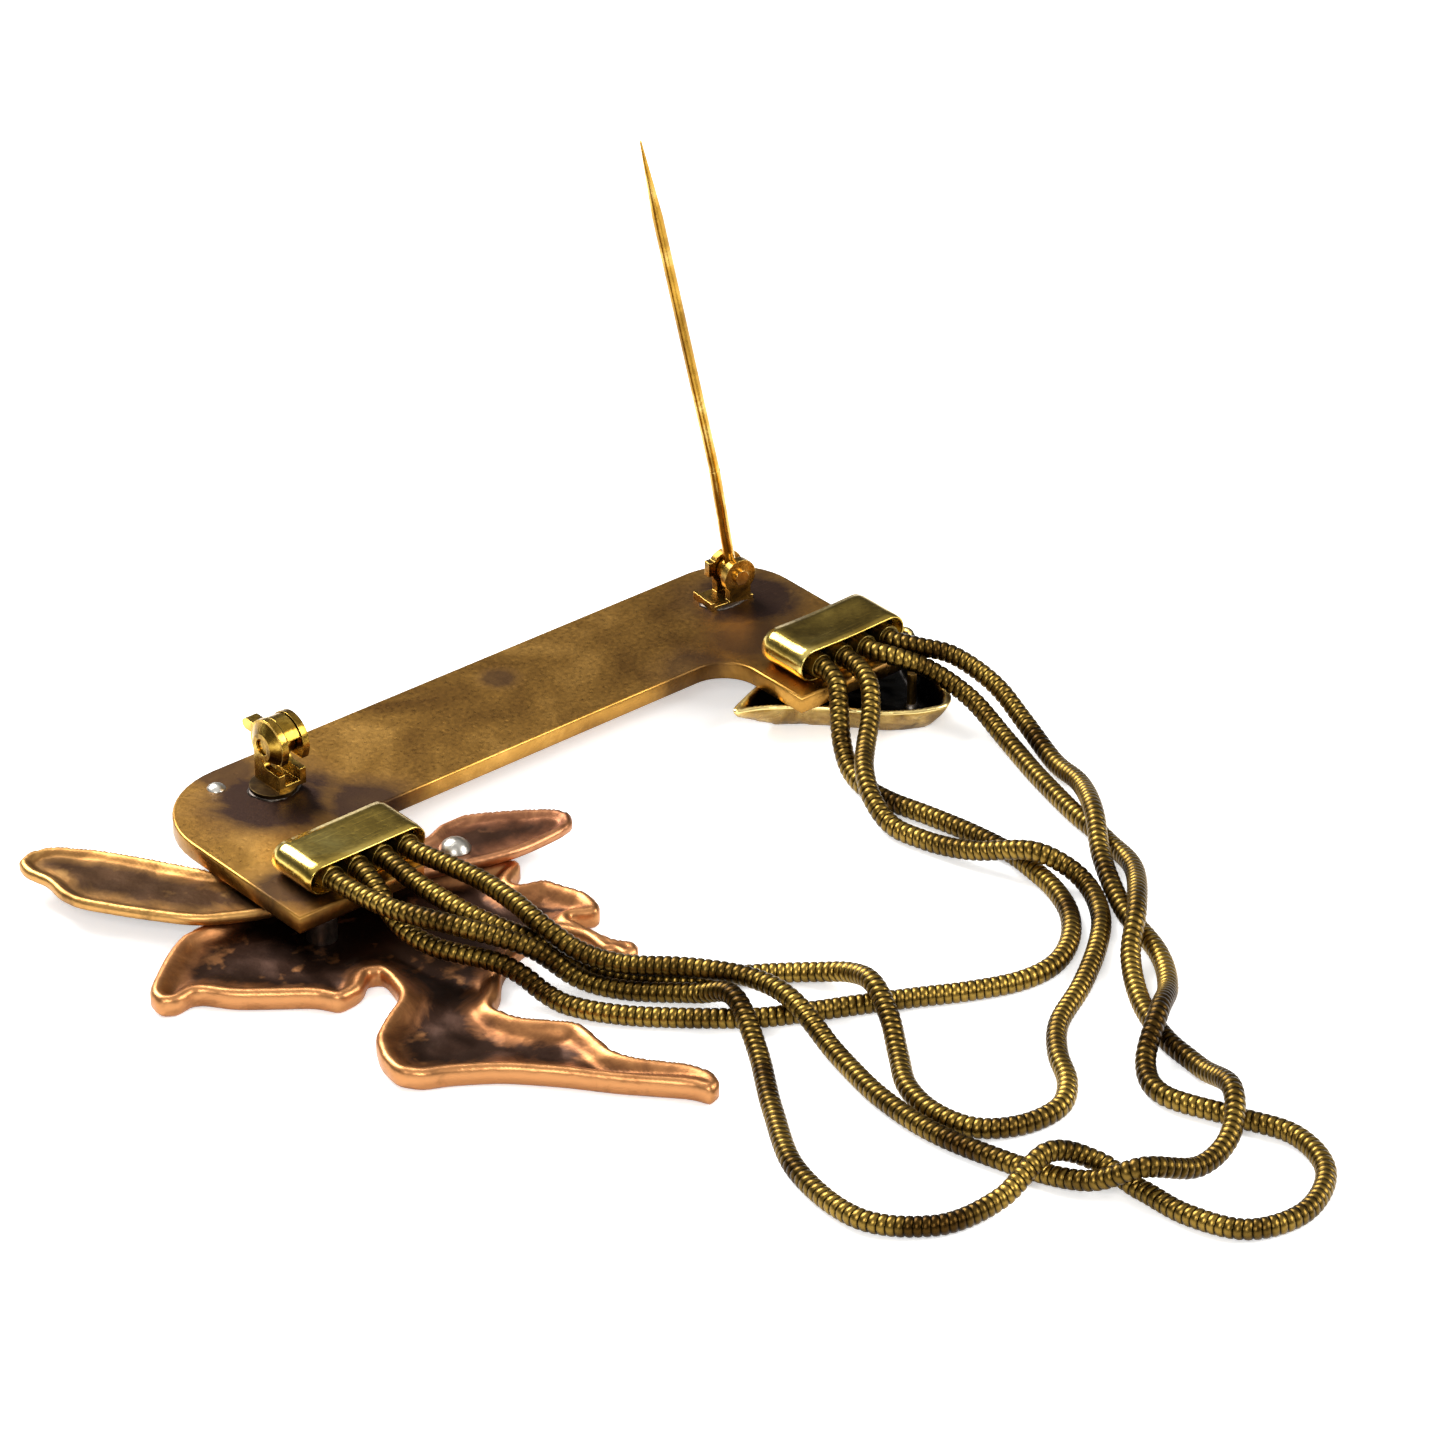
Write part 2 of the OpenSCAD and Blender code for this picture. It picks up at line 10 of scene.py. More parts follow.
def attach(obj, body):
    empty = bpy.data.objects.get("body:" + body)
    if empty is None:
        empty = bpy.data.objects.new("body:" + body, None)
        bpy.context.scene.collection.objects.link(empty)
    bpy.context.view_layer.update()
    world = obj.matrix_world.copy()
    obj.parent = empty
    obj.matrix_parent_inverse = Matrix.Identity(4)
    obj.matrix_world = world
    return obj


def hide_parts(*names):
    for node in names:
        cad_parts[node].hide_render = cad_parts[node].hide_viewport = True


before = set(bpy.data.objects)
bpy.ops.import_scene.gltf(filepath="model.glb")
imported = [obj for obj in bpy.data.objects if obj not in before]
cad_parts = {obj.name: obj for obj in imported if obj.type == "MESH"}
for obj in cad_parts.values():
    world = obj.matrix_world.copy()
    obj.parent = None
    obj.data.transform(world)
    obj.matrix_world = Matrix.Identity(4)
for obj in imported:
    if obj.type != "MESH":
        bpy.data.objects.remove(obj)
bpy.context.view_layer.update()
MM = 0.001

# ---- Camera and light -----------------------------------------------------------------------
# A long lens looks down at the brooch, which lies face down on a white sweep. One large soft
# light stands at the left and behind, with a weaker one at the right and a dark room round them.
aim = Vector((24.3, 14.6, 0.1)) * MM
distance = 571.4 * MM
turn, tilt = math.radians(-40.25), math.radians(31)
back = Vector((math.sin(turn) * math.cos(tilt), -math.cos(turn) * math.cos(tilt), math.sin(tilt)))
camera = bpy.data.objects.new("camera", bpy.data.cameras.new("camera"))
bpy.context.collection.objects.link(camera)
camera.location = aim + back * distance
camera.rotation_euler = back.to_track_quat("Z", "Y").to_euler()
camera.data.lens = 149.5
camera.data.sensor_width = 36
camera.data.clip_start = 0.01
camera.data.clip_end = 20
bpy.context.scene.camera = camera
bpy.context.scene.view_settings.view_transform = "Standard"

for name, side, ahead, up, size, power in (
        ("key_light", -0.30, 0.28, 0.42, 0.34, 5.2), ("fill_light", 0.42, -0.10, 0.30, 0.26, 1.9),
        ("front_light", -0.10, -0.50, 0.34, 0.22, 1.6)):
    light = bpy.data.objects.new(name, bpy.data.lights.new(name, "AREA"))
    bpy.context.collection.objects.link(light)
    away = Vector((side * math.cos(turn) - ahead * math.sin(turn),
                   side * math.sin(turn) + ahead * math.cos(turn), up))
    light.location = aim + away
    light.rotation_euler = away.to_track_quat("Z", "Y").to_euler()
    light.data.size = size
    light.data.energy = power

world = bpy.data.worlds.new("room")
bpy.context.scene.world = world
world.use_nodes = True
wn, wl = world.node_tree.nodes, world.node_tree.links
wn.clear()
room_place = wn.new("ShaderNodeTexCoord")
room_height = wn.new("ShaderNodeSeparateXYZ")
wl.new(room_place.outputs["Generated"], room_height.inputs[0])
room_ramp = wn.new("ShaderNodeValToRGB")
room_ramp.color_ramp.elements[0].position = 0.0
room_ramp.color_ramp.elements[0].color = (0.55, 0.54, 0.52, 1)
room_ramp.color_ramp.elements[1].position = 1.0
room_ramp.color_ramp.elements[1].color = (0.95, 0.95, 0.95, 1)
for place, level in ((0.30, 0.10), (0.50, 0.12), (0.72, 0.55)):
    stop = room_ramp.color_ramp.elements.new(place)
    stop.color = (level, level * 0.98, level * 0.94, 1)
wl.new(room_height.outputs["Z"], room_ramp.inputs[0])
room_light = wn.new("ShaderNodeBackground")
wl.new(room_ramp.outputs[0], room_light.inputs[0])
room_light.inputs[1].default_value = 0.85
room_white = wn.new("ShaderNodeBackground")
room_white.inputs[0].default_value = (1, 1, 1, 1)
room_rays = wn.new("ShaderNodeLightPath")
room_mix = wn.new("ShaderNodeMixShader")
wl.new(room_rays.outputs["Is Camera Ray"], room_mix.inputs[0])
wl.new(room_light.outputs[0], room_mix.inputs[1])
wl.new(room_white.outputs[0], room_mix.inputs[2])
wl.new(room_mix.outputs[0], wn.new("ShaderNodeOutputWorld").inputs[0])

# ---- White sweep ------------------------------------------------------------------------------
# A broad sheet of white card under the brooch, matt, which keeps its soft shadow.


def lin(code):
    """A linear colour from an sRGB hex code."""
    c = [int(code[i:i + 2], 16) / 255 for i in (1, 3, 5)]
    return [x / 12.92 if x <= 0.04045 else ((x + 0.055) / 1.055) ** 2.4 for x in c] + [1.0]


def add(mat, kind, links=None, **values):
    """A shader node: values set its properties or its unlinked inputs, links joins its inputs."""
    n = mat.node_tree.nodes.new("ShaderNode" + kind)
    for key, v in values.items():
        if hasattr(n, key):
            setattr(n, key, v)
        else:
            n.inputs[key.replace("_", " ")].default_value = v
    for key, src in (links or {}).items():
        mat.node_tree.links.new(src, n.inputs[key])
    return n


def piece(bm, mesh_name, name):
    """The bmesh as an object in the scene."""
    mesh = bpy.data.meshes.new(mesh_name)
    bm.to_mesh(mesh)
    bm.free()
    obj = bpy.data.objects.new(name, mesh)
    bpy.context.collection.objects.link(obj)
    return obj


bm = bmesh.new()
bmesh.ops.create_grid(bm, x_segments=1, y_segments=1, size=6)
floor = piece(bm, "floor", "floor")
floor_mat = bpy.data.materials.new("floor_white")
floor_mat.use_nodes = True
floor_bsdf = floor_mat.node_tree.nodes["Principled BSDF"]
floor_bsdf.inputs["Base Color"].default_value = lin("#f7f7f6")
floor_bsdf.inputs["Roughness"].default_value = 0.85
floor_bsdf.inputs["Emission Color"].default_value = (1, 1, 1, 1)
floor_rays = add(floor_mat, "LightPath").outputs["Is Camera Ray"]
floor_glow = add(floor_mat, "MapRange", {"Value": floor_rays}, To_Min=0.1, To_Max=0.44)
floor_mat.node_tree.links.new(floor_glow.outputs[0], floor_bsdf.inputs["Emission Strength"])
floor.data.materials.append(floor_mat)

# ---- Snake chains -----------------------------------------------------------------------------
# Four limp snake chains, 1.9 mm across, made of fine pressed rings that overlap like scales. Each
# leaves the right clamp, lies in loose curves over the others, and goes back into the left clamp.
chain_d = 1.9
rib_pitch = 0.72
curve_steps, chain_sides = 12, 16
FLOOR = chain_d / 2
chain_in, chain_z = -20.7, 6.75
right_x = [20.6, 23.4, 26.2, 29.0]
left_x = [-37.2, -34.4, -31.6, -28.8]
# The routes and the castings' outlines are measured from a point 42 mm along the plate and 1.6 mm
# below its top edge. This moves them into the model's frame.
chain_shift = np.array([10.35, 30.45, 0])
chain_routes = {
    "chain_a": [
        [right_x[1], chain_in, chain_z], [right_x[1], -23, chain_z], [23.3, -25.2, 6.4],
        [22.4, -27.4, 5.8], [20.6, -29.5, 4.3], [18, -31.8, 3.2], [15.2, -34.8, 3.1],
        [13.4, -38, 2.2], [12.9, -41.4, 1.1], [13.8, -45.5, FLOOR], [15.2, -50, 1.6],
        [17.5, -55, 3.1], [19.2, -58, 2.2], [19.4, -61, 1.1], [17, -65, FLOOR],
        [13.3, -68.4, FLOOR], [8, -72, FLOOR], [2.5, -75, FLOOR], [-0.8, -78.4, FLOOR],
        [-3.2, -82.2, FLOOR], [-6.3, -84.5, FLOOR], [-10.4, -84.4, FLOOR], [-13.8, -82.2, FLOOR],
        [-15, -78.2, FLOOR], [-14.2, -73.8, FLOOR], [-11.7, -69.8, 1.1], [-9.4, -66, 2.2],
        [-7.9, -62.2, 3.1], [-7.2, -58.6, 2.1], [-8.4, -55.4, 1.1], [-12.6, -52, FLOOR],
        [-18, -48.8, FLOOR], [-22.2, -44.1, 1.1], [-24, -41.4, 2], [-25.6, -39.4, 3.2],
        [-28, -36.6, 4.2], [-29.8, -33, 5], [-31.2, -28, 6], [left_x[2], -23.4, chain_z],
        [left_x[2], chain_in, chain_z]],
    "chain_b": [
        [right_x[0], chain_in, chain_z], [right_x[0], -23, chain_z], [20.2, -25.1, 6.2],
        [18.9, -27, 4.6], [17.5, -29, 2.6], [16.4, -31.4, 1.2], [15.6, -34.6, FLOOR],
        [15.8, -38, FLOOR], [16.8, -42, FLOOR], [17.8, -47, FLOOR], [18.2, -51.5, FLOOR],
        [17.8, -55.3, FLOOR], [17, -59, FLOOR], [15.2, -62.8, FLOOR], [12.2, -66, FLOOR],
        [8.5, -67.9, FLOOR], [4.5, -67.9, FLOOR], [0, -66.2, FLOOR], [-4.5, -63.8, FLOOR],
        [-9, -61.5, FLOOR], [-13.5, -59.3, FLOOR], [-17, -57.4, FLOOR], [-20, -55, FLOOR],
        [-22.9, -52.4, FLOOR], [-25.3, -50, FLOOR], [-27.3, -47.4, FLOOR], [-28.6, -44.9, FLOOR],
        [-29.4, -42.6, 1.5], [-30.2, -40.8, 2.6], [-31.4, -38.8, 3.5], [-33, -36.2, 3.7],
        [-34.3, -33.8, 3.8], [-35, -31, 4.1], [-35.1, -28.2, 4.9], [-34.6, -25.6, 6.1],
        [left_x[1], -23.2, chain_z], [left_x[1], chain_in, chain_z]],
    "chain_c": [
        [right_x[3], chain_in, chain_z], [right_x[3], -23.2, chain_z], [30.2, -25.6, 6.7],
        [32.4, -28.2, 6], [33.8, -32.4, 4.2], [33.6, -37, 2.1], [32.2, -42.6, FLOOR],
        [30.2, -48.2, 2], [26.4, -54, 3.2], [22.6, -59.2, 2.1], [19.3, -65.8, FLOOR],
        [16.9, -72.6, FLOOR], [13.2, -77.6, 1.5], [8.2, -81.6, 3.1], [3.6, -84.8, 1.3],
        [1.8, -89, FLOOR], [4.2, -95.2, FLOOR], [6.2, -100.6, FLOOR], [4.4, -106, FLOOR],
        [-1, -109, FLOOR], [-6.4, -107.8, FLOOR], [-8.9, -103, FLOOR], [-9.4, -97.6, FLOOR],
        [-10.4, -93.4, 2], [-14, -91.2, 3.3], [-19.6, -91.6, 1.4], [-25.8, -90.6, FLOOR],
        [-30.2, -85.6, FLOOR], [-29.6, -77, FLOOR], [-25.4, -69, FLOOR], [-21, -61.8, 1.6],
        [-18.6, -55.8, 3.1], [-19.1, -51.2, 1.3], [-22.9, -46.8, FLOOR], [-25.6, -43.1, 1.5],
        [-28.8, -39.9, 4.6], [-33, -35.4, 6.3], [-36, -29.4, 6.5], [left_x[0], -23.8, chain_z],
        [left_x[0], chain_in, chain_z]],
    "chain_d": [
        [right_x[2], chain_in, chain_z], [right_x[2], -23.2, chain_z], [27.3, -25.5, 6.6],
        [29.6, -28, 5.4], [31.2, -32, 3.4], [30.9, -37.4, 1.4], [29.2, -43.6, FLOOR],
        [27.5, -50, FLOOR], [26.3, -56.2, FLOOR], [23.9, -62, 1.9], [18.2, -68.3, 3.2],
        [13.8, -72.2, 1.7], [10.2, -77.4, FLOOR], [7.9, -83, FLOOR], [7, -88.4, 1.1],
        [4.8, -94.2, 3.1], [1, -97.9, 1.9], [-4, -99.2, 1.6], [-9.3, -98, 3.3],
        [-12.4, -94.6, 1.5], [-14.9, -88.6, FLOOR], [-17, -80.6, FLOOR], [-17, -73.4, FLOOR],
        [-15.6, -66, 1.1], [-14.9, -59.6, 2.9], [-15.5, -54.6, 3.1], [-18.4, -49.8, 3],
        [-22.6, -45.5, 3], [-25.1, -42.4, 3.9], [-26.6, -39, 5.6], [-26.8, -35.4, 6.3],
        [-26.9, -31, 6.4], [-27.8, -27, 6.6], [left_x[3], -23.4, chain_z],
        [left_x[3], chain_in, chain_z]],
}


def metal(name):
    """A bare metal material, and the Object coordinates that its patterns read."""
    mat = bpy.data.materials.new(name)
    mat.use_nodes = True
    mat.node_tree.nodes["Principled BSDF"].inputs["Metallic"].default_value = 1.0
    return mat, add(mat, "TexCoord").outputs["Object"]


def surface(mat, colour, gloss, bump):
    """Joins a metal's colour, roughness and bump to it."""
    inputs = mat.node_tree.nodes["Principled BSDF"].inputs
    for source, key in ((colour, "Base Color"), (gloss, "Roughness"), (bump, "Normal")):
        mat.node_tree.links.new(source, inputs[key])


def skin(bm, rings):
    """Closes a stack of rings of vertices into a capped tube."""
    for a, b in zip(rings, rings[1:]):
        for k in range(len(a)):
            j = (k + 1) % len(a)
            bm.faces.new((a[k], a[j], b[j], b[k])).smooth = True
    bm.faces.new(rings[0][::-1])
    bm.faces.new(rings[-1])
    bmesh.ops.recalc_face_normals(bm, faces=bm.faces)


# Pressed brass, aged: 7 mm patches of tone, with painted shade, nearly black, in the grooves so
# that the ribs read as scales. The grain is 0.4 mm, far coarser than the real one, so that it
# shows.
chain_mat, place = metal("snake_chain_brass")
rib = add(chain_mat, "Attribute", attribute_name="rib").outputs["Fac"]
patch = add(chain_mat, "TexNoise", {"Vector": place}, Scale=140.0, Detail=3.0).outputs["Fac"]
tone = add(chain_mat, "ValToRGB", {"Fac": patch})
tone.color_ramp.elements[0].position, tone.color_ramp.elements[0].color = 0.35, lin("#3f2c10")
tone.color_ramp.elements[1].position, tone.color_ramp.elements[1].color = 0.68, lin("#9c7e3a")
# Painted shade: the narrow ring of each rib goes nearly black (#120c03).
groove_shade = add(chain_mat, "MapRange", {"Value": rib}, From_Min=0.15, From_Max=0.8)
colour = add(chain_mat, "Mix", {"Factor": groove_shade.outputs[0], 7: tone.outputs[0]}, data_type="RGBA")
colour.inputs[6].default_value = lin("#120c03")
grain = add(chain_mat, "TexNoise", {"Vector": place}, Scale=2600.0, Detail=2.0).outputs["Fac"]
rough = add(chain_mat, "MapRange", {"Value": grain}, To_Min=0.24, To_Max=0.42)
bump = add(chain_mat, "Bump", {"Height": grain}, Strength=0.15, Distance=0.00003)
surface(chain_mat, colour.outputs[2], rough.outputs[0], bump.outputs[0])

for name, route in chain_routes.items():
    p = np.array(route, float)
    line = [p[0] + (p[1] - p[0]) * s / curve_steps for s in range(curve_steps)]
    for i in range(1, len(p) - 2):
        a, b, c, d = p[i - 1:i + 3]
        for t in (s / curve_steps for s in range(curve_steps)):
            line.append(0.5 * (2 * b + (c - a) * t + (2 * a - 5 * b + 4 * c - d) * t * t
                               + (3 * b - a - 3 * c + d) * t ** 3))
    line += [p[-2] + (p[-1] - p[-2]) * s / curve_steps for s in range(curve_steps + 1)]
    line = np.array(line)
    line[:, 2] = np.maximum(line[:, 2], FLOOR)
    reach = np.r_[0, np.cumsum(np.linalg.norm(np.diff(line, axis=0), axis=1))]
    ribs = int(reach[-1] / rib_pitch)
    cuts = [(k + f) / ribs for k in range(ribs) for f in (0.0, 0.16, 0.5, 0.84)] + [1.0]
    s_at = np.array(cuts) * reach[-1]
    mid = np.stack([np.interp(s_at, reach, line[:, k]) for k in range(3)], 1)
    along = np.gradient(mid, axis=0)
    along /= np.linalg.norm(along, axis=1)[:, None]
    bm = bmesh.new()
    mark = bm.verts.layers.float.new("rib")
    rings = []
    for i, (m, t) in enumerate(zip(mid, along)):
        side = np.cross(t, (0, 0, 1))
        side /= np.linalg.norm(side)
        up = np.cross(side, t)
        form = (0.84, 0.965, 1.0, 0.955)[i % 4]
        height = (0.0, 0.75, 1.0, 0.65)[i % 4]
        ring = []
        for k in range(chain_sides):
            q = math.tau * k / chain_sides
            lean = 0.11 * rib_pitch * math.cos(2 * q + 0.6)
            r = chain_d / 2 * form
            v = bm.verts.new((m + t * lean + r * (math.cos(q) * side + math.sin(q) * up)
                              + chain_shift) * MM)
            v[mark] = height
            ring.append(v)
        rings.append(ring)
    skin(bm, rings)
    chain = piece(bm, name, name + "_ribbed")
    chain.data.materials.append(chain_mat)
    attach(chain, "root")
    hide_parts(name)

# ---- Back plate -------------------------------------------------------------------------------
# A flat C-shaped plate blanked from 1.8 mm brass, with rounded outer corners and broken edges.
# Its antiqued face is brown in patches, scratched and pitted, and lighter on its edges: partly
# rubbed bright, partly a painted highlight.
plate_left, plate_right = -31.65, 41.35
plate_top, plate_low, arm_end = 32.05, 17.35, 6.65
arm_w, corner_left, corner_right, inner_r = 14.0, 9.0, 7.0, 3.8
plate_z = (3.4, 5.2)


def arc(cx, cy, r, a0, a1, steps=12):
    """Points on an arc, in mm, from angle a0 to a1 in degrees."""
    return [(cx + r * math.cos(math.radians(a0 + (a1 - a0) * i / steps)),
             cy + r * math.sin(math.radians(a0 + (a1 - a0) * i / steps)))
            for i in range(steps + 1)]


edge = arc(plate_left + corner_left, plate_top - corner_left, corner_left, 90, 180)
edge += [(plate_left, arm_end), (plate_left + arm_w, arm_end)]
edge += arc(plate_left + arm_w + inner_r, plate_low - inner_r, inner_r, 180, 90)
edge += arc(plate_right - arm_w - inner_r, plate_low - inner_r, inner_r, 90, 0)
edge += [(plate_right - arm_w, arm_end), (plate_right, arm_end)]
edge += arc(plate_right - corner_right, plate_top - corner_right, corner_right, 0, 90)
bm = bmesh.new()
base = bm.faces.new([bm.verts.new((x * MM, y * MM, plate_z[0] * MM)) for x, y in edge])
raised = bmesh.ops.extrude_face_region(bm, geom=[base])["geom"]
bmesh.ops.translate(bm, vec=(0, 0, (plate_z[1] - plate_z[0]) * MM),
                    verts=[v for v in raised if isinstance(v, bmesh.types.BMVert)])
bmesh.ops.recalc_face_normals(bm, faces=bm.faces)
rims = [e for e in bm.edges if abs(e.verts[0].co.z - e.verts[1].co.z) < 1e-7]
bmesh.ops.bevel(bm, geom=rims, offset=0.22 * MM, segments=3, profile=0.5, affect="EDGES")
for f in bm.faces:
    f.smooth = abs(f.normal.z) < 0.999
plate = piece(bm, "back_plate", "plate_blanked")


def antiqued(name, bright, mid, dark, patina, level=0.5, rough=(0.2, 0.42), size=1.0, edge_r=0.1,
             spots=()):
    """Antiqued metal: three tones in cloudy patches, brown patina above `level`, fine grain, pits
    and scratches, and edges lighter, partly rubbed bright and partly a painted highlight. spots are
    (x, y, z, radius, amount) in mm.

    Clouds are 10.5 mm across, stains 19 mm and dents 2.4 mm, all times `size`. Pits are 1.1 mm,
    scratches 5.6 by 0.24 mm and grain 0.43 mm, coarser than the real grain so that it shows."""
    mat, place = metal(name)
    cloud = add(mat, "TexNoise", {"Vector": place}, Scale=95.0 / size, Detail=5.0, Roughness=0.62,
                Distortion=0.6).outputs["Fac"]
    tone = add(mat, "ValToRGB", {"Fac": cloud})
    tone.color_ramp.elements[0].position, tone.color_ramp.elements[0].color = 0.33, lin(dark)
    tone.color_ramp.elements[1].position, tone.color_ramp.elements[1].color = 0.70, lin(bright)
    tone.color_ramp.elements.new(0.52).color = lin(mid)
    stain = add(mat, "TexNoise", {"Vector": place}, Scale=52.0 / size, Detail=7.0, Roughness=0.7,
                Distortion=1.2).outputs["Fac"]
    amount = add(mat, "MapRange", {"Value": stain}, From_Min=level, From_Max=level + 0.16,
                 To_Max=0.85).outputs[0]
    for x, y, z, r, much in spots:
        apart = add(mat, "VectorMath", {0: place}, operation="DISTANCE")
        apart.inputs[1].default_value = (x * MM, y * MM, z * MM)
        wobble = add(mat, "Math", {0: stain}, operation="MULTIPLY")
        wobble.inputs[1].default_value = r * MM * 1.3
        near = add(mat, "Math", {0: apart.outputs["Value"], 1: wobble.outputs[0]},
                   operation="ADD")
        near = add(mat, "MapRange", {"Value": near.outputs[0]}, From_Min=r * MM * 1.15,
                   From_Max=r * MM * 1.75, To_Min=much, To_Max=0.0)
        amount = add(mat, "Math", {0: amount, 1: near.outputs[0]}, operation="MAXIMUM").outputs[0]
    soft = add(mat, "Bevel", samples=6, Radius=edge_r * MM).outputs[0]
    plain = add(mat, "NewGeometry").outputs["Normal"]
    same = add(mat, "VectorMath", {0: soft, 1: plain}, operation="DOT_PRODUCT").outputs["Value"]
    # Edges: rubbed wear, which also clears the patina, together with a painted highlight.
    edge_wear_and_highlight = add(mat, "MapRange", {"Value": same}, From_Min=0.995, From_Max=0.90).outputs[0]
    under = add(mat, "Math", {0: amount, 1: edge_wear_and_highlight}, operation="SUBTRACT", use_clamp=True)
    dirty = add(mat, "Mix", {"Factor": under.outputs[0], 6: tone.outputs[0]}, data_type="RGBA")
    dirty.inputs[7].default_value = lin(patina)
    # Painted highlight and rubbed brass: the edges are mixed 55% toward the bright tone.
    rub_and_highlight = add(mat, "Math", {0: edge_wear_and_highlight}, operation="MULTIPLY")
    rub_and_highlight.inputs[1].default_value = 0.55
    colour = add(mat, "Mix", {"Factor": rub_and_highlight.outputs[0], 6: dirty.outputs[2]}, data_type="RGBA")
    colour.inputs[7].default_value = lin(bright)
    grain = add(mat, "TexNoise", {"Vector": place}, Scale=2300.0, Detail=3.0).outputs["Fac"]
    dents = add(mat, "TexNoise", {"Vector": place}, Scale=420.0 / size, Detail=4.0).outputs["Fac"]
    pits = add(mat, "TexVoronoi", {"Vector": place}, Scale=900.0).outputs["Distance"]
    pit = add(mat, "MapRange", {"Value": pits}, From_Min=0.05, From_Max=0.22).outputs[0]
    stretch = add(mat, "Mapping", {"Vector": place}, vector_type="POINT")
    stretch.inputs["Rotation"].default_value = (0, 0, 0.5)
    stretch.inputs["Scale"].default_value = (180, 4200, 900)
    lines = add(mat, "TexNoise", {"Vector": stretch.outputs[0]}, Scale=1.0, Detail=2.0)
    scratch = add(mat, "MapRange", {"Value": lines.outputs["Fac"]}, From_Min=0.62, From_Max=0.72)
    relief = add(mat, "Math", {0: dents, 1: pit}, operation="ADD").outputs[0]
    relief = add(mat, "Math", {0: relief, 1: scratch.outputs[0]}, operation="SUBTRACT").outputs[0]
    relief = add(mat, "Math", {0: relief, 1: grain}, operation="ADD").outputs[0]
    bump = add(mat, "Bump", {"Height": relief, "Normal": soft}, Strength=0.22, Distance=0.00004)
    gloss = add(mat, "MapRange", {"Value": grain}, To_Min=rough[0], To_Max=rough[1]).outputs[0]
    dull = add(mat, "Math", {0: under.outputs[0]}, operation="MULTIPLY")
    dull.inputs[1].default_value = 0.18
    gloss = add(mat, "Math", {0: gloss, 1: dull.outputs[0]}, operation="ADD").outputs[0]
    surface(mat, colour.outputs[2], gloss, bump.outputs[0])
    return mat


def paint(mat, *names):
    """Gives CAD nodes this material."""
    for n in names:
        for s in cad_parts[n].material_slots:
            s.material = mat


# Blanked brass under an old lacquer: warm gold, with brown patches where the lacquer has gone.
plate.data.materials.append(antiqued(
    "antiqued_plate", "#d6a252", "#ad7f3a", "#835c28", "#2c1d1b", level=0.62, edge_r=0.12,
    spots=((36, 25.0, 5.2, 7.5, 0.97), (-21.5, 24, 5.2, 8.5, 0.97), (-15.5, 18, 5.2, 6.0, 0.92),
           (-29, 11, 5.2, 5.5, 0.92), (-22, 31, 5.2, 4.5, 0.85), (31, 18.5, 5.2, 5.0, 0.75),
           (8, 28, 5.2, 2.4, 0.8), (23, 17, 5.2, 5.0, 0.75), (40, 14, 5.2, 5.0, 0.8))))
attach(plate, "root")
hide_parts("back_plate")

# ---- Hinge and pin ----------------------------------------------------------------------------
# A folded brass hinge on a square foot, soldered down, with a domed rivet through its two ears.
# The gilt wire pin turns between them and is filed to a long point.
paint(antiqued("hinge_brass", "#e0b860", "#a07a30", "#5e4418", "#1c120c", level=0.48, size=0.35,
               rough=(0.18, 0.36)), "hinge_joint")
paint(antiqued("rivet_brass", "#e9cb86", "#c49a50", "#8d6a35", "#2c1c18", level=0.62, size=0.3,
               rough=(0.12, 0.25)), "hinge_rivet")
paint(antiqued("pin_gilt", "#eccb78", "#bf9238", "#8a6420", "#4a3014", level=0.62, size=0.5,
               rough=(0.14, 0.28), edge_r=0.05), "pin_stem")

# ---- Catch ------------------------------------------------------------------------------------
# A small rollover catch: two round walls on a post, a turning barrel with a thumb lever between
# them, and a riveted axle. It stands on a round foot in a ring of solder.
paint(antiqued("catch_brass", "#ecc65e", "#a88232", "#5c4416", "#191008", level=0.5, size=0.3,
               rough=(0.13, 0.3)), "catch_frame", "catch_axle")
paint(antiqued("barrel_brass", "#efcb66", "#a8822f", "#5f4517", "#1c1208", level=0.54, size=0.4,
               rough=(0.12, 0.26)), "catch_barrel")
paint(antiqued("foot_brass", "#6a5632", "#44331c", "#2a1f12", "#150e0a", level=0.45, size=0.4,
               rough=(0.25, 0.45)), "catch_foot")

# ---- Tube clamps ------------------------------------------------------------------------------
# Two lengths of flattened brass tube that hold the chain ends. The left one is pressed flat and
# polished. The right one is higher, and its top is dented.
clamp_len, clamp_depth, clamp_wall, lip = 13.2, 5.8, 0.32, 0.08
clamp_mouth = chain_shift[1] - 22.2
mouth_deep = 1.6
end_steps, flat_steps, clamp_rows = 12, 12, 8


def section(bm, middle, w, h, y, sink):
    """One ring of the flattened tube at y, w wide and h high, its top dented by sink."""
    flat = (w - h) / 2
    around = []
    for start, sx in ((-90, 1), (90, -1)):
        for i in range(end_steps + 1):
            q = math.radians(start + 180 * i / end_steps)
            around.append((sx * flat + h / 2 * math.cos(q), h / 2 * math.sin(q)))
        around += [(sx * flat * (1 - 2 * i / flat_steps), sx * h / 2)
                   for i in range(1, flat_steps)]
    ring = []
    for x, z in around:
        if z > 0:
            z -= sink * z / (h / 2) * math.cos(min(abs(x) / (w / 2), 1) * math.pi / 2) ** 1.5
        ring.append(bm.verts.new(((middle[0] + x) * MM, y * MM, (middle[1] + z) * MM)))
    return ring


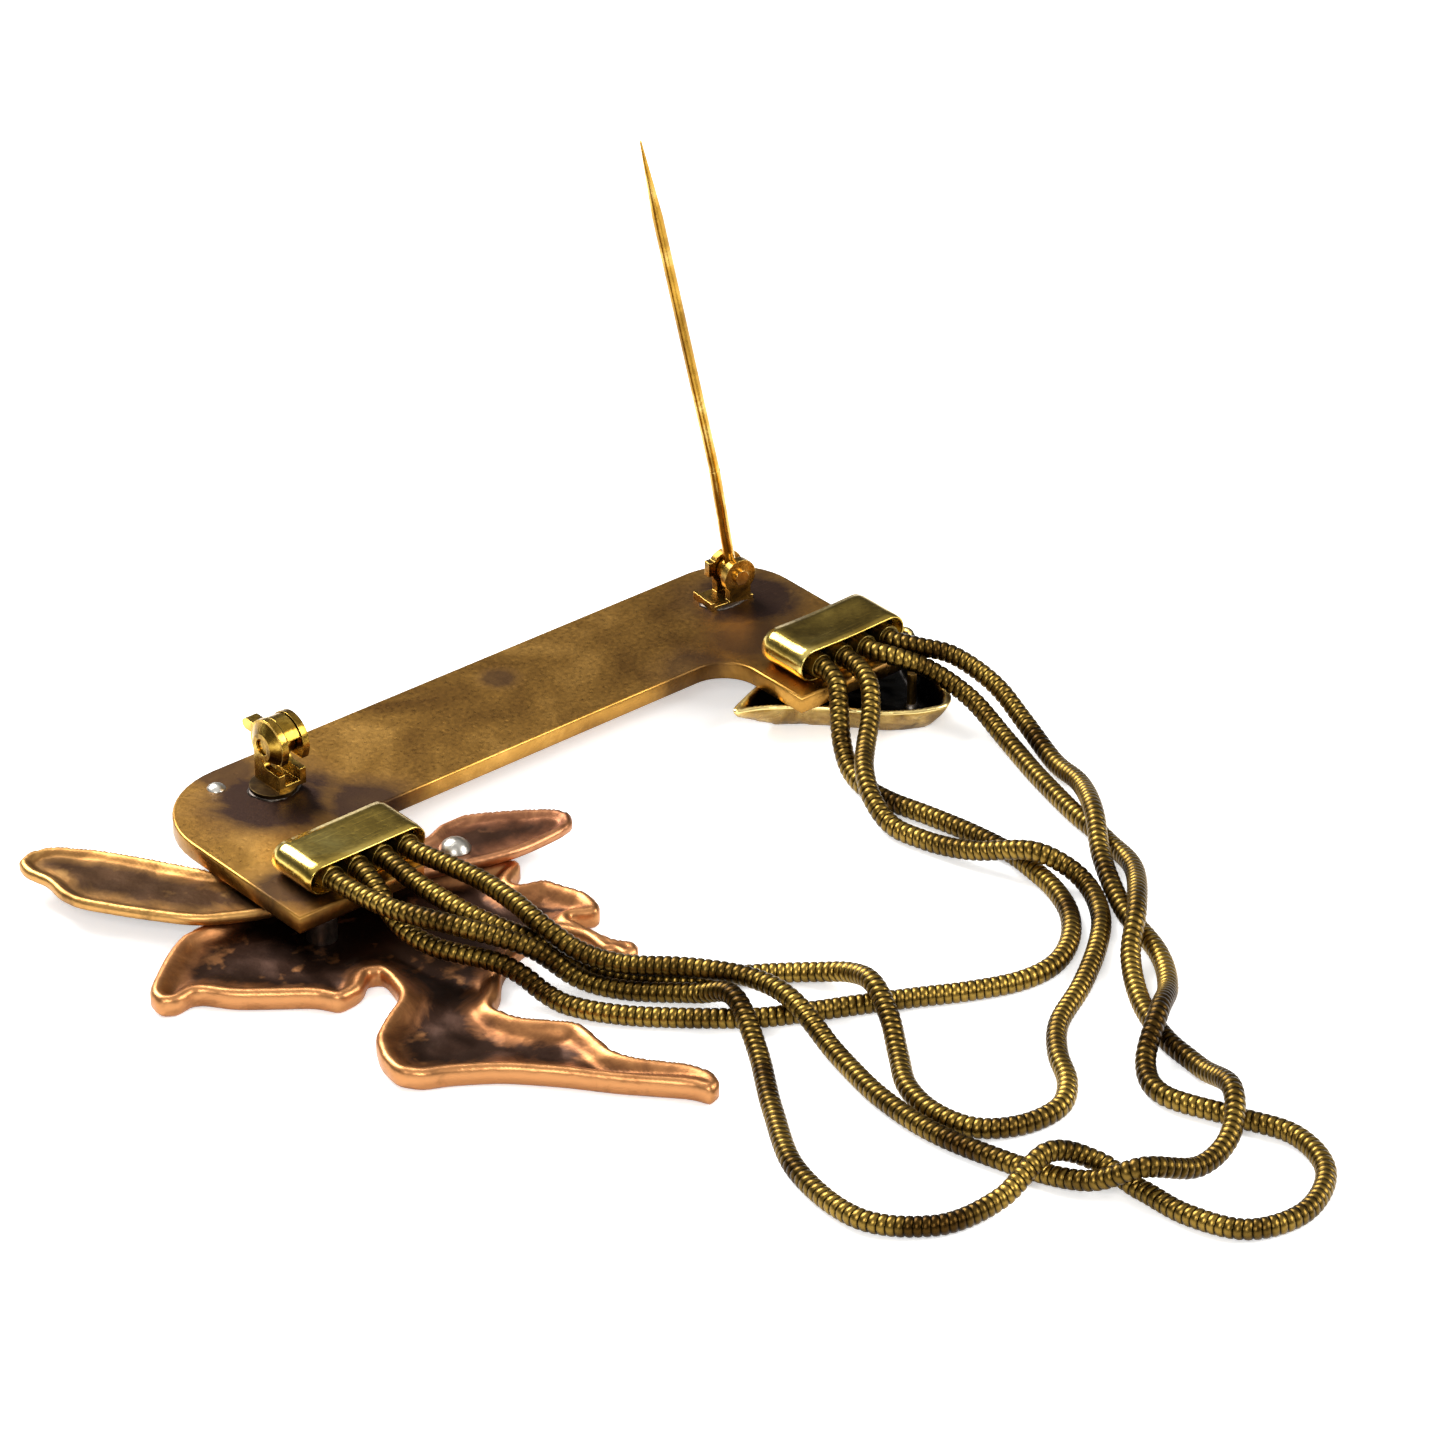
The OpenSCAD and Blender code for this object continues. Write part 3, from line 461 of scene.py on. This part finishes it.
# Gilt brass tube, pressed and buffed: pale and bright, with the gold worn through in places.
clamp_mat = antiqued("clamp_gilt", "#f2da7e", "#d6b658", "#a08438", "#4a3018", level=0.66, size=0.8,
                     rough=(0.1, 0.26), edge_r=0.08)
for name, cx, high, dent in (("clamp_left", -22.65, 3.1, 0.06), ("clamp_right", 35.15, 3.5, 0.28)):
    bm = bmesh.new()
    middle = (cx, plate_z[1] + high / 2)
    bore = (clamp_len - 2 * clamp_wall, high - 2 * clamp_wall)
    rings = [section(bm, middle, *bore, clamp_mouth + mouth_deep, dent * 0.5),
             section(bm, middle, *bore, clamp_mouth + lip, dent * 0.5),
             section(bm, middle, clamp_len - 0.3, high - 0.3, clamp_mouth, dent * 0.5)]
    for i in range(clamp_rows + 1):
        f = i / clamp_rows
        end = 0.16 if i in (0, clamp_rows) else 0.0
        rings.append(section(bm, middle, clamp_len - end, high - end,
                             clamp_mouth + lip + (clamp_depth - 2 * lip) * f,
                             dent * math.sin(math.pi * (0.15 + 0.7 * f))))
    rings.append(section(bm, middle, clamp_len - 0.5, high - 0.5, clamp_mouth + clamp_depth,
                         dent * 0.3))
    skin(bm, rings)
    clamp = piece(bm, name, name + "_pressed")
    clamp.data.materials.append(clamp_mat)
    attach(clamp, "root")
    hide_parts(name)
# Unpolished brass rings on the chain ends, dull and dark inside the clamps.
paint(antiqued("ring_brass", "#b99d55", "#7f6a30", "#463812", "#1a1208", level=0.5, size=0.4),
      "chain_rings_left", "chain_rings_right")

# ---- Solder -----------------------------------------------------------------------------------
# Grey solder round the feet, solder inside the clamps painted darker as shade, and brighter blobs
# on the wing and the plate.
mound_sides = 64
# Old tin solder, cast where it ran: dull grey, with brown in its hollows.
solder_grey = antiqued("solder_grey", "#8d857b", "#5c544d", "#342d2a", "#1a1514", level=0.5,
                       size=0.35, rough=(0.28, 0.5))
paint(solder_grey, "solder_peg", "solder_body")
for name, cx, cy, wide, deep, high in (("solder_hinge", 34.1, 25.9, 2.7, 2.0, 0.3),
                                       ("solder_catch", -20.1, 25.95, 2.45, 2.4, 0.25)):
    bm = bmesh.new()
    top = bm.verts.new((cx * MM, cy * MM, (plate_z[1] + high) * MM))
    rings = []
    for f in (0.3, 0.6, 0.8, 0.92, 1.0):
        ring = []
        for k in range(mound_sides):
            q = math.tau * k / mound_sides
            far = 1 + 0.16 * noise((3 * math.cos(q), 3 * math.sin(q), wide))
            ring.append(bm.verts.new(((cx + wide * far * f * math.cos(q)) * MM,
                                      (cy + deep * far * f * math.sin(q)) * MM,
                                      (plate_z[1] + high * (1 - f ** 4)) * MM)))
        rings.append(ring)
    for k in range(mound_sides):
        j = (k + 1) % mound_sides
        bm.faces.new((top, rings[0][k], rings[0][j])).smooth = True
        for a, b in zip(rings, rings[1:]):
            bm.faces.new((a[k], b[k], b[j], a[j])).smooth = True
    bm.faces.new(rings[-1][::-1])
    bmesh.ops.recalc_face_normals(bm, faces=bm.faces)
    mound = piece(bm, name, name + "_flowed")
    mound.data.materials.append(solder_grey)
    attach(mound, "root")
    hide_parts(name)
# The fills inside the clamps take a darker copy of the solder: painted shade.
paint(antiqued("solder_painted_shade", "#4a4238", "#2c2620", "#15110d", "#0c0906", level=0.4, size=0.4,
               rough=(0.4, 0.6)), "solder_fill_left", "solder_fill_right")
paint(antiqued("solder_bright", "#efebe2", "#cfcac0", "#9b958b", "#6b625a", level=0.66, size=0.35,
               rough=(0.22, 0.4)), "solder_wing", "solder_spot")

# ---- Figure, wings and leaf --------------------------------------------------------------------
# Hollow-backed castings, seen from behind: a winged figure, its two wings and a deep leaf. Their
# rims are rounded and rubbed bright, and their hollows are dark with patina.
figure_outline = [
    [-38, -15], [-42, -14.8], [-46, -15], [-49, -15.2], [-52, -17], [-56.3, -20.5], [-56.7, -22.5],
    [-55.3, -23.6], [-53, -23.2], [-51, -26], [-48, -28.4], [-45.4, -30.4], [-44.2, -32.6],
    [-41.6, -32.4], [-39.8, -30.8], [-38.6, -31.4], [-39.6, -35.4], [-43, -37.4], [-45.5, -39.2],
    [-47, -42], [-47.4, -44.6], [-46, -46.6], [-43.6, -47.7], [-40, -50.2], [-36.5, -54],
    [-33.4, -58], [-31, -60.6], [-29.2, -62.6], [-28.4, -64.5], [-27, -64], [-26.4, -62.4],
    [-27.2, -60], [-30, -56.6], [-31, -54.4], [-30.6, -51.4], [-30.4, -48.8], [-34, -45],
    [-34.8, -42], [-32.6, -40.6], [-30.6, -38.2], [-27, -36.2], [-23.4, -35.4], [-22.3, -36.6],
    [-21.3, -38.6], [-21.6, -41.4], [-20.8, -42], [-20.8, -43.4], [-19.4, -43.7], [-18.4, -42.4],
    [-19.8, -40.4], [-20.2, -38], [-20.6, -35.2], [-19.8, -35.2], [-18, -36.4], [-17, -35.4],
    [-16.6, -33], [-17.6, -30.6], [-18.2, -28.8], [-20.4, -28.2], [-20.8, -27.2], [-18.2, -25.6],
    [-18.2, -24.2], [-22, -22.5], [-28, -19], [-34, -16]]
wing_left_outline = [
    [-36, -13], [-40.5, -11.5], [-44.5, -4.5], [-47, -0.5], [-50, 3], [-52.2, 3.6], [-54, 2.9],
    [-54.5, 1], [-53.8, -1.6], [-54.2, -4], [-53.8, -6.2], [-51, -10.6], [-47.3, -15.6],
    [-42, -18.6], [-36, -19.5]]
wing_right_outline = [
    [-33, -16.5], [-27, -17.6], [-23, -17.8], [-20.8, -16.8], [-18, -16.9], [-14.5, -19],
    [-11.2, -21.3], [-10.4, -23], [-11.4, -24.6], [-13.4, -25.1], [-18, -25.2], [-22, -24.2],
    [-27, -22.5], [-33, -20.5]]
leaf_outline = [
    [12, -19], [15, -20.2], [18, -22.5], [20, -24.6], [23, -28.4], [26, -30.5], [28.6, -31.4],
    [30, -30.6], [31.2, -28.4], [32.6, -24.5], [34.6, -20.6], [36, -18], [34, -16.3], [29, -15],
    [23, -15.2], [17, -17]]
cell = 0.28  # the side of a casting's mesh cells


def casting(name, outline, top, under):
    """A closed shell inside the outline: top and under give heights in mm from the distance to
    the edge. The mesh keeps that distance in the attribute "inner"."""
    o = np.array(outline, float) + chain_shift[:2]
    for _ in range(2):
        ahead = np.roll(o, -1, axis=0)
        o = np.stack([0.82 * o + 0.18 * ahead, 0.18 * o + 0.82 * ahead], 1).reshape(-1, 2)
    nxt = np.roll(o, -1, axis=0)
    lo, hi = o.min(0) - 1, o.max(0) + 1
    nx, ny = (np.ceil((hi - lo) / cell)).astype(int) + 1
    gx, gy = np.meshgrid(lo[0] + np.arange(nx) * cell, lo[1] + np.arange(ny) * cell, indexing="ij")
    g = np.stack([gx.ravel(), gy.ravel()], 1)
    best = np.full(len(g), 1e9)
    foot = np.zeros_like(g)
    inside = np.zeros(len(g), bool)
    for a, b in zip(o, nxt):
        ab = b - a
        t = np.clip(((g - a) @ ab) / (ab @ ab), 0, 1)
        q = a + t[:, None] * ab
        d = np.linalg.norm(g - q, axis=1)
        near = d < best
        best[near] = d[near]
        foot[near] = q[near]
        cross = (a[1] > g[:, 1]) != (b[1] > g[:, 1])
        at = a[0] + (g[:, 1] - a[1]) / (ab[1] if abs(ab[1]) > 1e-9 else 1e-9) * ab[0]
        inside ^= cross & (g[:, 0] < at)
    dist = np.where(inside, best, -best)
    keep = dist > -0.55 * cell
    snap = keep & (dist < 0.45 * cell)
    g[snap] = foot[snap]
    dist[snap] = 0
    bm = bmesh.new()
    inner = bm.verts.layers.float.new("inner")
    upper, lower = {}, {}
    for i in np.flatnonzero(keep):
        x, y, d = g[i][0], g[i][1], dist[i]
        z1, z0 = top(d, x, y), under(d, x, y)
        upper[i] = bm.verts.new((x * MM, y * MM, z1 * MM))
        lower[i] = bm.verts.new((x * MM, y * MM, min(z0, z1 - 0.05) * MM))
        upper[i][inner] = lower[i][inner] = d
        if d <= 0:
            lower[i][inner] = 0.2
    edges = {}
    for i in range(nx - 1):
        for j in range(ny - 1):
            q = [i * ny + j, (i + 1) * ny + j, (i + 1) * ny + j + 1, i * ny + j + 1]
            q = [k for k in q if keep[k]]
            if len(q) < 3 or all(dist[k] <= 0 for k in q):
                continue
            bm.faces.new([upper[k] for k in q]).smooth = True
            bm.faces.new([lower[k] for k in q[::-1]]).smooth = True
            for a, b in zip(q, q[1:] + q[:1]):
                if (b, a) in edges:
                    del edges[(b, a)]
                else:
                    edges[(a, b)] = True
    for a, b in edges:
        bm.faces.new((upper[b], upper[a], lower[a], lower[b])).smooth = True
    loose = [v for v in bm.verts if not v.link_faces]
    bmesh.ops.delete(bm, geom=loose, context="VERTS")
    bmesh.ops.recalc_face_normals(bm, faces=bm.faces)
    obj = piece(bm, name, name + "_cast")
    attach(obj, "root")
    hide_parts(name)
    return obj


def ease(x):
    """0 to 1, smoothly."""
    x = min(max(x, 0.0), 1.0)
    return x * x * (3 - 2 * x)


def figure_top(d, x, y):
    """The figure's back: a rounded rim 2.2 mm high round an uneven hollow."""
    rim = 1.75 + 0.45 * math.sqrt(max(0.0, 1 - (1 - min(d / 0.5, 1)) ** 2))
    lump = 0.40 * noise((x * 0.22, y * 0.22, 1.5)) + 0.06 * noise((x * 0.6, y * 0.6, 4.0))
    deep = 0.55 + 0.45 * ease((d - 1.0) / 3.5)
    floor_z = max(0.95, 1.95 - deep + lump)
    return rim + (min(floor_z, rim) - rim) * ease((d - 0.6) / 1.5)


def figure_under(d, x, y):
    """The figure's front, rounded up by 0.6 mm at its edge."""
    return 0.6 * (1 - min(d / 0.7, 1)) ** 2


def wing_top(d, x, y):
    """A wing's back: a low rounded rim round a nearly flat floor."""
    rim = 3.05 + 0.3 * math.sqrt(max(0.0, 1 - (1 - min(d / 0.45, 1)) ** 2))
    floor_z = 2.9 + 0.10 * noise((x * 0.4, y * 0.4, 2.0))
    return rim + (floor_z - rim) * ease((d - 0.5) / 0.8)


def wing_under(d, x, y):
    """A wing's front, rounded up a little at its edge."""
    return 2.2 + 0.3 * (1 - min(d / 0.5, 1)) ** 2


def leaf_top(d, x, y):
    """The leaf's back: a thin rim round a deep hollow."""
    deep = 0.85 + 0.25 * noise((x * 0.5, y * 0.5, 3.0))
    return 3.38 + (deep - 3.38) * ease((d - 0.35) / 1.7)


def leaf_under(d, x, y):
    """The leaf's front, which swells down from its rim and is lightly hammered."""
    hammered = 0.10 * noise((x * 1.3, y * 1.3, 7.0))
    return max(0.0, 3.1 - 1.75 * d + 0.18 * d * d + hammered * ease(d / 0.4))


def hollow_metal(name, rim, rim_low, mid, dark, spot, reach, rough=(0.30, 0.48), hammer=0.0):
    """Cast metal: bright on the rim, and dark with patina from `reach` mm in. Clouds are 4.2 mm
    across, flecks 2.4 mm, hammer marks 0.9 mm and grain 0.7 mm, drawn coarse so that it shows."""
    mat, place = metal(name)
    inner = add(mat, "Attribute", attribute_name="inner").outputs["Fac"]
    cloud = add(mat, "TexNoise", {"Vector": place}, Scale=240.0, Detail=6.0, Roughness=0.65,
                Distortion=0.8).outputs["Fac"]
    shift = add(mat, "Math", {0: cloud}, operation="MULTIPLY_ADD")
    shift.inputs[1].default_value = reach * 1.6
    shift.inputs[2].default_value = -reach * 0.8
    depth = add(mat, "Math", {0: inner, 1: shift.outputs[0]}, operation="ADD").outputs[0]
    deep = add(mat, "MapRange", {"Value": depth}, From_Min=0.35, From_Max=reach).outputs[0]
    tone = add(mat, "ValToRGB", {"Fac": deep})
    tone.color_ramp.elements[0].position, tone.color_ramp.elements[0].color = 0.0, lin(rim)
    tone.color_ramp.elements[1].position, tone.color_ramp.elements[1].color = 1.0, lin(dark)
    tone.color_ramp.elements.new(0.28).color = lin(rim_low)
    tone.color_ramp.elements.new(0.58).color = lin(mid)
    fleck = add(mat, "TexNoise", {"Vector": place}, Scale=420.0, Detail=4.0).outputs["Fac"]
    spots = add(mat, "MapRange", {"Value": fleck}, From_Min=0.6, From_Max=0.7, To_Max=0.75)
    colour = add(mat, "Mix", {"Factor": spots.outputs[0], 6: tone.outputs[0]}, data_type="RGBA")
    colour.inputs[7].default_value = lin(spot)
    grain = add(mat, "TexNoise", {"Vector": place}, Scale=1500.0, Detail=4.0).outputs["Fac"]
    beaten = add(mat, "TexVoronoi", {"Vector": place}, Scale=1100.0).outputs["Distance"]
    height = add(mat, "Math", {0: beaten}, operation="MULTIPLY")
    height.inputs[1].default_value = hammer
    height = add(mat, "Math", {0: height.outputs[0], 1: grain}, operation="ADD").outputs[0]
    height = add(mat, "Math", {0: height, 1: fleck}, operation="ADD").outputs[0]
    bump = add(mat, "Bump", {"Height": height}, Strength=0.3, Distance=0.00008)
    gloss = add(mat, "MapRange", {"Value": cloud}, To_Min=rough[0], To_Max=rough[1]).outputs[0]
    surface(mat, colour.outputs[2], gloss, bump.outputs[0])
    return mat


figure = casting("figure_body", figure_outline, figure_top, figure_under)
figure.data.materials.append(hollow_metal("figure_copper", "#c08654", "#a06c42", "#7d5233",
                                          "#35231a", "#9a6a42", 3.2))
wing_l = casting("wing_left", wing_left_outline, wing_top, wing_under)
wing_l.data.materials.append(hollow_metal("wing_brass", "#c39354", "#94693a", "#70502c", "#46301e",
                                          "#805f36", 3.0))
wing_r = casting("wing_right", wing_right_outline, wing_top, wing_under)
wing_r.data.materials.append(hollow_metal("wing_copper", "#b98058", "#8f5f42", "#6f4731", "#432c20",
                                          "#94684a", 3.0))
leaf = casting("leaf_shell", leaf_outline, leaf_top, leaf_under)
leaf.data.materials.append(hollow_metal("leaf_gilt", "#f3d88e", "#c9a455", "#2a1e0e", "#0a0705",
                                        "#171009", 0.9, rough=(0.2, 0.4), hammer=1.6))
leaf.data.materials.append(antiqued("leaf_outside", "#f0d283", "#b8934a", "#7b5c28", "#33230f",
                                    level=0.56, size=0.35, rough=(0.2, 0.4)))
for f in leaf.data.polygons:
    if f.normal.z < -0.02:
        f.material_index = 1
paint(antiqued("peg_brass", "#ecc97a", "#b8904a", "#7a5a2a", "#2c1e10", level=0.6, size=0.4),
      "leaf_peg")
